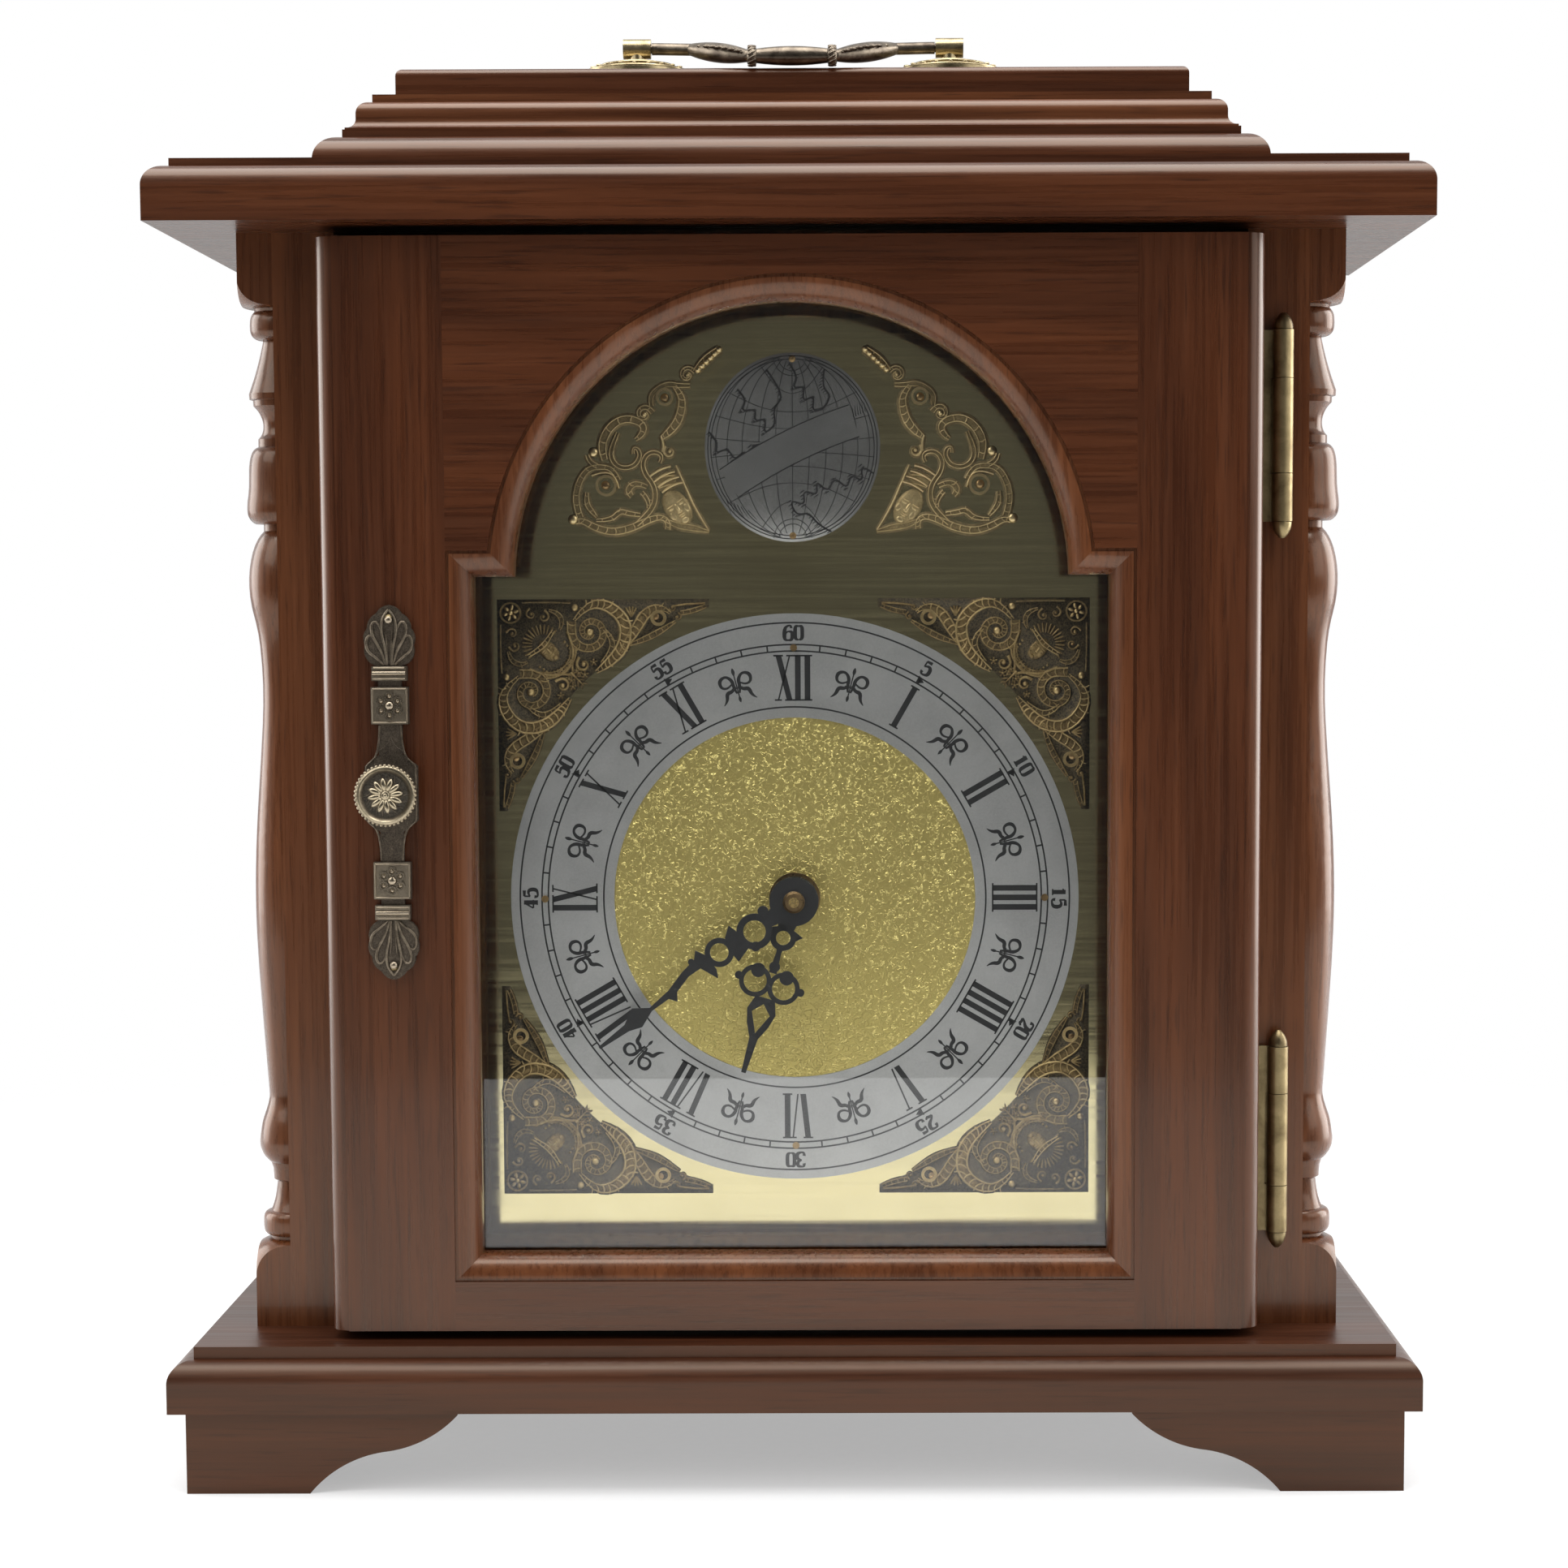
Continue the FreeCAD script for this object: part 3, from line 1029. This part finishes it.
def bail_shape():
    """The bail about its pivot line: pivots, arms, swelling leaves, collars and a barrel grip."""
    wire, drop = float(S.bail_wire), float(S.bail_drop)
    inner = float(S.handle_half_span - S.post_head_length / 2)
    pivot_end = inner + float(S.bail_pin_depth - S.bail_rest_gap)
    arm_end = inner - float(S.bail_rest_gap)
    elbow = Vector(float(S.bail_elbow), -wire, 0)
    collar_end = float(S.bail_collar_half_span + S.bail_collar_length / 2)
    grip_end = float(S.bail_collar_half_span - S.bail_collar_length / 2)
    grip = float(S.bail_grip_radius)
    wrist = Vector(collar_end, -drop, 0)
    pin = Part.makeCylinder(float(S.bail_pin_radius), pivot_end - arm_end + wire,
                            Vector(arm_end - wire, 0, 0), Vector(1, 0, 0))
    shoulder = Vector(arm_end - wire, 0, 0)
    arm = between(spun([(0, wire), ((shoulder - elbow).Length, wire)]), elbow, shoulder)
    length = (elbow - wrist).Length
    leaf = between(spun([(0, wire, float(S.bail_leaf_radius)), (length, wire)]), wrist, elbow)
    waist = grip * float(S.bail_waist_share)
    collar = spun([(grip_end, waist, float(S.bail_collar_radius)), (collar_end, waist)])
    collar.translate(Vector(0, -drop, 0))
    shoulder_end = Part.makeCylinder(wire, wire, Vector(arm_end - wire, 0, 0), Vector(1, 0, 0))
    joints = [Part.makeSphere(wire, elbow), Part.makeSphere(wire, wrist)]
    half = [pin, arm, leaf, collar, shoulder_end] + joints
    other = [solid.mirror(Vector(0, 0, 0), Vector(1, 0, 0)) for solid in half]
    middle = spun([(-grip_end, waist, grip), (grip_end, waist)])
    middle.translate(Vector(0, -drop, 0))
    return middle.multiFuse(half + other).removeSplitter()


# Movement

def toothed(name, teeth, pitch_radius, span, offset=False):
    """A gear about the Z axis over a span of heights, as a disc with a pattern of teeth.

    With offset, a gap stands where the first tooth would.
    """
    module = pitch_radius * 2 / teeth
    pitch = pitch_radius * 2 * math.pi / teeth
    root_radius = pitch_radius - module * S.dedendum_share
    tip_radius = pitch_radius + module * S.addendum_share
    body = doc.addObject("PartDesign::Body", name)
    low, high = as_size(span[0]), as_size(span[1])
    disc_sketch = sketch_in(body, "XY_Plane", low)
    draw_circle(disc_sketch, ZERO, ZERO, root_radius)
    disc = body.newObject("PartDesign::Pad", name + "_disc")
    disc.Profile = disc_sketch
    bind(disc, Length=high - low)
    tooth_sketch = sketch_in(body, "XY_Plane", low)
    inner = root_radius - module / 2
    base, tip = pitch * S.tooth_root_share / 2, pitch * S.tooth_tip_share / 2
    draw_outline(tooth_sketch, [(inner, -base), (root_radius, -base), (tip_radius, -tip),
                                (tip_radius, tip), (root_radius, base), (inner, base)])
    tooth = body.newObject("PartDesign::Pad", name + "_tooth")
    tooth.Profile = tooth_sketch
    bind(tooth, Length=high - low)
    ring = body.newObject("PartDesign::PolarPattern", name + "_teeth")
    ring.Originals = [tooth]
    ring.Axis = (plane_of(body, "Z_Axis"), [""])
    ring.Angle = 360
    ring.Occurrences = teeth
    body.Tip = ring
    if offset:
        body.Placement = Placement(Vector(0, 0, 0), Rotation(Vector(0, 0, 1), 180 / teeth))
    return body


def bar(name, radius, low, high):
    """A cylinder about the Z axis from low to high."""
    return rod(name, radius, high - low, ZERO, ZERO, low)


def movement_pieces():
    """The movement's shell, cover, battery, drive and motion work, and the nut that holds it."""
    half, wall = S.movement_side / 2, S.movement_wall
    low = DIAL_Z - half
    bay_top = low + S.battery_bay
    corner = S.movement_corner
    outline = [(-half + corner, low), (half - corner, low, corner), (half, low + corner),
               (half, DIAL_Z + half - corner, corner), (half - corner, DIAL_Z + half),
               (-half + corner, DIAL_Z + half, corner), (-half, DIAL_Z + half - corner),
               (-half, low + corner, corner)]
    block = prism("shell_block", "XZ_Plane", (SHELL_FRONT, SHELL_BACK), outline)
    tube = rod("shell_tube", S.bush_radius, SHELL_FRONT - PLATE_FRONT + BUSH_PROUD + wall, ZERO,
               PLATE_FRONT - BUSH_PROUD, DIAL_Z, ALONG_Y)
    chamber = box("shell_chamber", (-half + wall, half - wall), (CHAMBER_FRONT, SHELL_BACK + S.overrun),
                  (bay_top + wall, DIAL_Z + half - wall))
    bay = box("shell_bay", (-half + wall, half - wall), (CHAMBER_FRONT, SHELL_BACK + S.overrun),
              (low + wall, bay_top))
    bore = rod("shell_bore", S.hour_tube_radius + S.shaft_fit,
               CHAMBER_FRONT - PLATE_FRONT + BUSH_PROUD + S.overrun * 2, ZERO,
               PLATE_FRONT - BUSH_PROUD - S.overrun, DIAL_Z, ALONG_Y)
    pivot_hole = rod("shell_pivot_hole", S.pivot_radius + S.shaft_fit, S.pivot_length / 2 + S.overrun,
                     ZERO, CHAMBER_FRONT - S.pivot_length / 2, MOTION_Z, ALONG_Y)
    shell = cut("movement_shell", fuse("shell_blank", block, tube), chamber, bay, bore, pivot_hole)

    plate = box("cover_plate", (-half, half), (SHELL_BACK, SHELL_BACK + S.cover_thickness),
                (bay_top, DIAL_Z + half))
    hole = rod("cover_hole", S.setting_shaft_radius + S.shaft_fit, S.cover_thickness + S.overrun * 2,
               ZERO, SHELL_BACK - S.overrun, MOTION_Z, ALONG_Y)
    blind = rod("cover_pivot_hole", S.pivot_radius + S.shaft_fit, S.pivot_length / 2 + S.overrun,
                ZERO, SHELL_BACK - S.overrun, DIAL_Z, ALONG_Y)
    cover = cut("movement_cover", plate, hole, blind)

    cell = turned("battery_cell", [
        (ZERO, ZERO), (S.battery_radius, ZERO), (S.battery_radius, S.battery_length),
        (S.battery_nub_radius, S.battery_length),
        (S.battery_nub_radius, S.battery_length + S.battery_nub),
        (ZERO, S.battery_length + S.battery_nub)])
    cell.Label = "battery"
    start = -(S.battery_length + S.battery_nub) / 2
    bay_middle = (low + wall + bay_top) / 2
    place(cell, start, CHAMBER_FRONT + S.battery_radius + S.cover_fit, bay_middle, ALONG_X)
    contacts = []
    for tag, side in (("left", -1), ("right", 1)):
        outer = side * (half - wall)
        inner = outer - side * S.contact_thickness
        span = (outer, inner) if side < 0 else (inner, outer)
        strip = box(f"contact_strip_{tag}", span,
                    (CHAMBER_FRONT, CHAMBER_FRONT + S.contact_height),
                    (bay_middle - S.contact_width / 2, bay_middle + S.contact_width / 2))
        touch = side * (S.battery_length + S.battery_nub) / 2
        reach = (touch, inner) if side > 0 else (inner, touch)
        middle_y = CHAMBER_FRONT + S.battery_radius + S.cover_fit
        dimple = rod(f"contact_dimple_{tag}", S.battery_nub_radius / 2, reach[1] - reach[0],
                     reach[0], middle_y, bay_middle, ALONG_X)
        contacts.append(fuse(f"contact_{tag}", strip, dimple))
    drive = box("drive_module", (half - wall - S.drive_width - S.cover_fit, half - wall - S.cover_fit),
                (CHAMBER_FRONT, SHELL_BACK), (bay_top + wall, bay_top + wall + S.drive_height))
    return [shell, cover, cell, group("battery_contacts", *contacts), drive] + motion_work()


def pitch_radii(driver, driven):
    """The pitch radii of a pair of gears at the motion work's centre distance."""
    both = TEETH[driver] + TEETH[driven]
    return S.gear_distance * TEETH[driver] / both, S.gear_distance * TEETH[driven] / both


def motion_work():
    """The minute arbor, the motion wheel with its setting knob, and the hour wheel."""
    first = CHAMBER_FRONT + S.gear_gap
    first_back = first + S.gear_thickness
    second = first_back + S.gear_gap
    second_back = second + S.gear_thickness
    third = second_back + S.gear_gap
    third_back = third + S.gear_thickness
    cannon_radius, wheel_radius = pitch_radii("cannon", "motion_wheel")
    pinion_radius, hour_radius = pitch_radii("motion_pinion", "hour_wheel")

    def standing(item, height):
        return place(item, ZERO, ZERO, height, ALONG_Y)

    shaft_low = MINUTE_FRONT - S.hand_nut_height
    shaft = bar("minute_shaft", S.minute_shaft_radius, shaft_low, SHELL_BACK - S.pivot_length)
    pivot = bar("minute_pivot", S.pivot_radius, SHELL_BACK - S.pivot_length,
                SHELL_BACK + S.pivot_length / 2 - S.cover_fit)
    wheel = bar("centre_wheel", S.centre_wheel_radius, third, third_back)
    cannon = toothed("cannon_pinion", TEETH["cannon"], cannon_radius, (second, second_back), True)
    arbor = standing(fuse("minute_arbor", shaft, pivot, wheel, cannon), DIAL_Z)

    front_pivot = bar("motion_pivot", S.pivot_radius, CHAMBER_FRONT - S.pivot_length / 2 + S.cover_fit,
                      first)
    pinion = toothed("motion_pinion", TEETH["motion_pinion"], pinion_radius, (first, second))
    gear = toothed("motion_gear", TEETH["motion_wheel"], wheel_radius, (second, second_back))
    setting = bar("setting_shaft", S.setting_shaft_radius, second_back,
                  SHELL_BACK + S.cover_thickness + S.setting_knob_gap)
    knob_low = SHELL_BACK + S.cover_thickness + S.setting_knob_gap
    knob = bar("setting_knob", S.setting_knob_radius, knob_low, knob_low + S.setting_knob_length)
    motion = standing(fuse("motion_wheel", front_pivot, pinion, gear, setting, knob), MOTION_Z)

    hour = toothed("hour_gear", TEETH["hour_wheel"], hour_radius, (first, first_back))
    tube = bar("hour_tube", S.hour_tube_radius, HOUR_FRONT, first_back)
    bore = bar("hour_bore", S.minute_shaft_radius + S.shaft_fit, HOUR_FRONT - S.overrun,
               first_back + S.overrun)
    hour_wheel = standing(cut("hour_wheel", fuse("hour_blank", hour, tube), bore), DIAL_Z)

    nut_back = PLATE_FRONT - S.centre_thickness - S.washer_thickness
    washer = rod("nut_washer", S.washer_radius, S.washer_thickness, ZERO, nut_back, DIAL_Z, ALONG_Y)
    flats = []
    for number in range(NUT_SIDES):
        angle = 2 * math.pi * number / NUT_SIDES
        flats.append((S.dial_nut_radius * math.cos(angle),
                      DIAL_Z + S.dial_nut_radius * math.sin(angle)))
    nut = prism("hex_nut", "XZ_Plane", (nut_back - S.dial_nut_height, nut_back), flats)
    fixing = rod("nut_bore", S.bush_radius, S.dial_nut_height + S.washer_thickness + S.overrun * 2,
                 ZERO, nut_back - S.dial_nut_height - S.overrun, DIAL_Z, ALONG_Y)
    dial_nut = group("dial_nut", cut("washer_ring", washer, fixing), cut("nut_ring", nut, fixing))
    return [arbor, motion, hour_wheel, dial_nut]


# Hands: outlines in shares of the hand's length, along it and to its clockwise side.

HOUR_RINGS = [(0.215, 0.0, 0.072, 0.040), (0.487, 0.082, 0.090, 0.064), (0.487, -0.082, 0.090, 0.064)]
HOUR_DISCS = [(0.482, 0.178, 0.022), (0.482, -0.178, 0.022), (0.425, 0.082, 0.040),
              (0.425, -0.082, 0.040), (0.383, 0.0, 0.030)]
HOUR_PLATES = [[(0.10, 0.060), (0.30, 0.014), (0.42, 0.022), (0.42, -0.022), (0.30, -0.014),
                (0.10, -0.060)],
               [(0.565, 0.055), (0.645, 0.082), (0.720, 0.062), (0.800, 0.024), (1.0, 0.013),
                (1.0, -0.013), (0.800, -0.024), (0.720, -0.062), (0.645, -0.082), (0.565, -0.055)],
               [(0.16, 0.045), (0.185, 0.105), (0.235, 0.050)],
               [(0.16, -0.045), (0.185, -0.105), (0.235, -0.050)]]
HOUR_HOLES = [[(0.600, 0.0), (0.655, 0.052), (0.770, 0.0), (0.655, -0.052)]]
MINUTE_RINGS = [(0.202, 0.0, 0.074, 0.046), (0.369, 0.018, 0.060, 0.038)]
MINUTE_DISCS = [(0.124, 0.046, 0.022), (0.485, 0.056, 0.013), (0.235, -0.052, 0.020)]
MINUTE_PLATES = [[(0.08, 0.040), (0.15, 0.022), (0.15, -0.022), (0.08, -0.040)],
                 [(0.262, 0.050), (0.272, 0.083), (0.315, 0.052), (0.330, -0.028), (0.328, -0.060),
                  (0.262, -0.040)],
                 [(0.420, 0.040), (0.443, 0.084), (0.470, 0.056), (0.540, 0.045), (0.632, 0.018),
                  (0.735, 0.008), (0.735, -0.008), (0.650, -0.010), (0.628, -0.041), (0.605, -0.008),
                  (0.530, 0.014), (0.470, 0.012), (0.437, -0.065), (0.420, -0.030)],
                 [(0.735, 0.008), (0.795, 0.050), (0.860, 0.014), (1.0, 0.006), (1.0, -0.006),
                  (0.860, -0.018), (0.807, -0.037), (0.735, -0.008)]]


def pierced_hand(length, boss, bore, rings, discs, plates, holes):
    """A flat pierced hand that points along Z, its thickness along Y from 0."""
    thick = float(S.hand_thickness)

    def disc(along, across, radius):
        return Part.makeCylinder(radius * length, thick, Vector(across * length, 0, along * length),
                                 Vector(0, 1, 0))

    def flat(points):
        corners = [Vector(across * length, 0, along * length) for along, across in points]
        return Part.Face(Part.makePolygon(corners + corners[:1])).extrude(Vector(0, thick, 0))

    solid = Part.makeCylinder(boss, thick, Vector(0, 0, 0), Vector(0, 1, 0))
    parts = [disc(*place_and_radius) for place_and_radius in discs]
    parts += [disc(along, across, radius) for along, across, radius, _ in rings]
    parts += [flat(points) for points in plates]
    solid = solid.multiFuse(parts)
    cuts = [disc(along, across, radius) for along, across, _, radius in rings]
    cuts += [flat(points) for points in holes]
    cuts.append(Part.makeCylinder(bore, thick, Vector(0, 0, 0), Vector(0, 1, 0)))
    for tool in cuts:
        solid = solid.cut(tool)
    blobs = [disc(*place_and_radius) for place_and_radius in discs]
    return solid.multiFuse(blobs).removeSplitter()


def hand_pieces():
    """The hour hand on its tube, and the minute hand under its nut."""
    hour = pierced_hand(float(S.hour_length), float(S.hub_radius), float(S.hour_tube_radius),
                        HOUR_RINGS, HOUR_DISCS, HOUR_PLATES, HOUR_HOLES)
    minute = pierced_hand(float(S.minute_length), float(S.hub_radius),
                          float(S.minute_shaft_radius), MINUTE_RINGS, MINUTE_DISCS, MINUTE_PLATES, [])
    pieces = []
    for name, shape, angle, front in (("hour_hand", hour, S.hour_angle, HOUR_FRONT),
                                      ("minute_hand", minute, S.minute_angle, MINUTE_FRONT)):
        turn = Rotation(Vector(0, 1, 0), float(angle))
        pieces.append(shaped(name, shape, ZERO, front, DIAL_Z, turn))
    nut = turned("hand_nut_blank", [
        (S.minute_shaft_radius, ZERO), (S.hand_nut_radius, ZERO),
        (S.hand_nut_radius, S.hand_nut_height - S.hand_nut_bevel),
        (S.hand_nut_radius - S.hand_nut_bevel, S.hand_nut_height),
        (S.minute_shaft_radius, S.hand_nut_height)])
    nut.Label = "hand_nut"
    place(nut, ZERO, MINUTE_FRONT, DIAL_Z, TOWARDS_FRONT)
    return pieces + [nut]


def write(pieces):
    """Checks every object and every piece, then writes one STEP file for each piece."""
    doc.recompute()
    for item in doc.Objects:
        if "Invalid" in item.State or "Error" in item.State:
            raise RuntimeError(f"{item.Label} failed: {item.State}")
    names = [piece.Label for piece in pieces]
    if len(names) != len(set(names)):
        raise RuntimeError(f"a label is used twice: {sorted(names)}")
    for piece in pieces:
        if piece.Shape.isNull() or not piece.Shape.isValid() or not piece.Shape.Solids:
            raise RuntimeError(f"{piece.Label} has no valid solid")
    os.makedirs("parts", exist_ok=True)
    for piece in pieces:
        piece.Shape.exportStep(os.path.join("parts", piece.Label + ".step"))
        print(f"{piece.Label}: {len(piece.Shape.Solids)} solids, {piece.Shape.Volume:.1f} mm3")
    print(f"{len(pieces)} pieces")


PIECES = base_pieces() + case_pieces() + column_pieces() + crown_pieces() + dial_pieces()
PIECES += door_pieces() + hinge_pieces("upper", HINGE_UPPER_Z)
PIECES += hinge_pieces("lower", HINGE_LOWER_Z) + pull_pieces() + handle_pieces()
PIECES += movement_pieces() + hand_pieces()
write(PIECES)
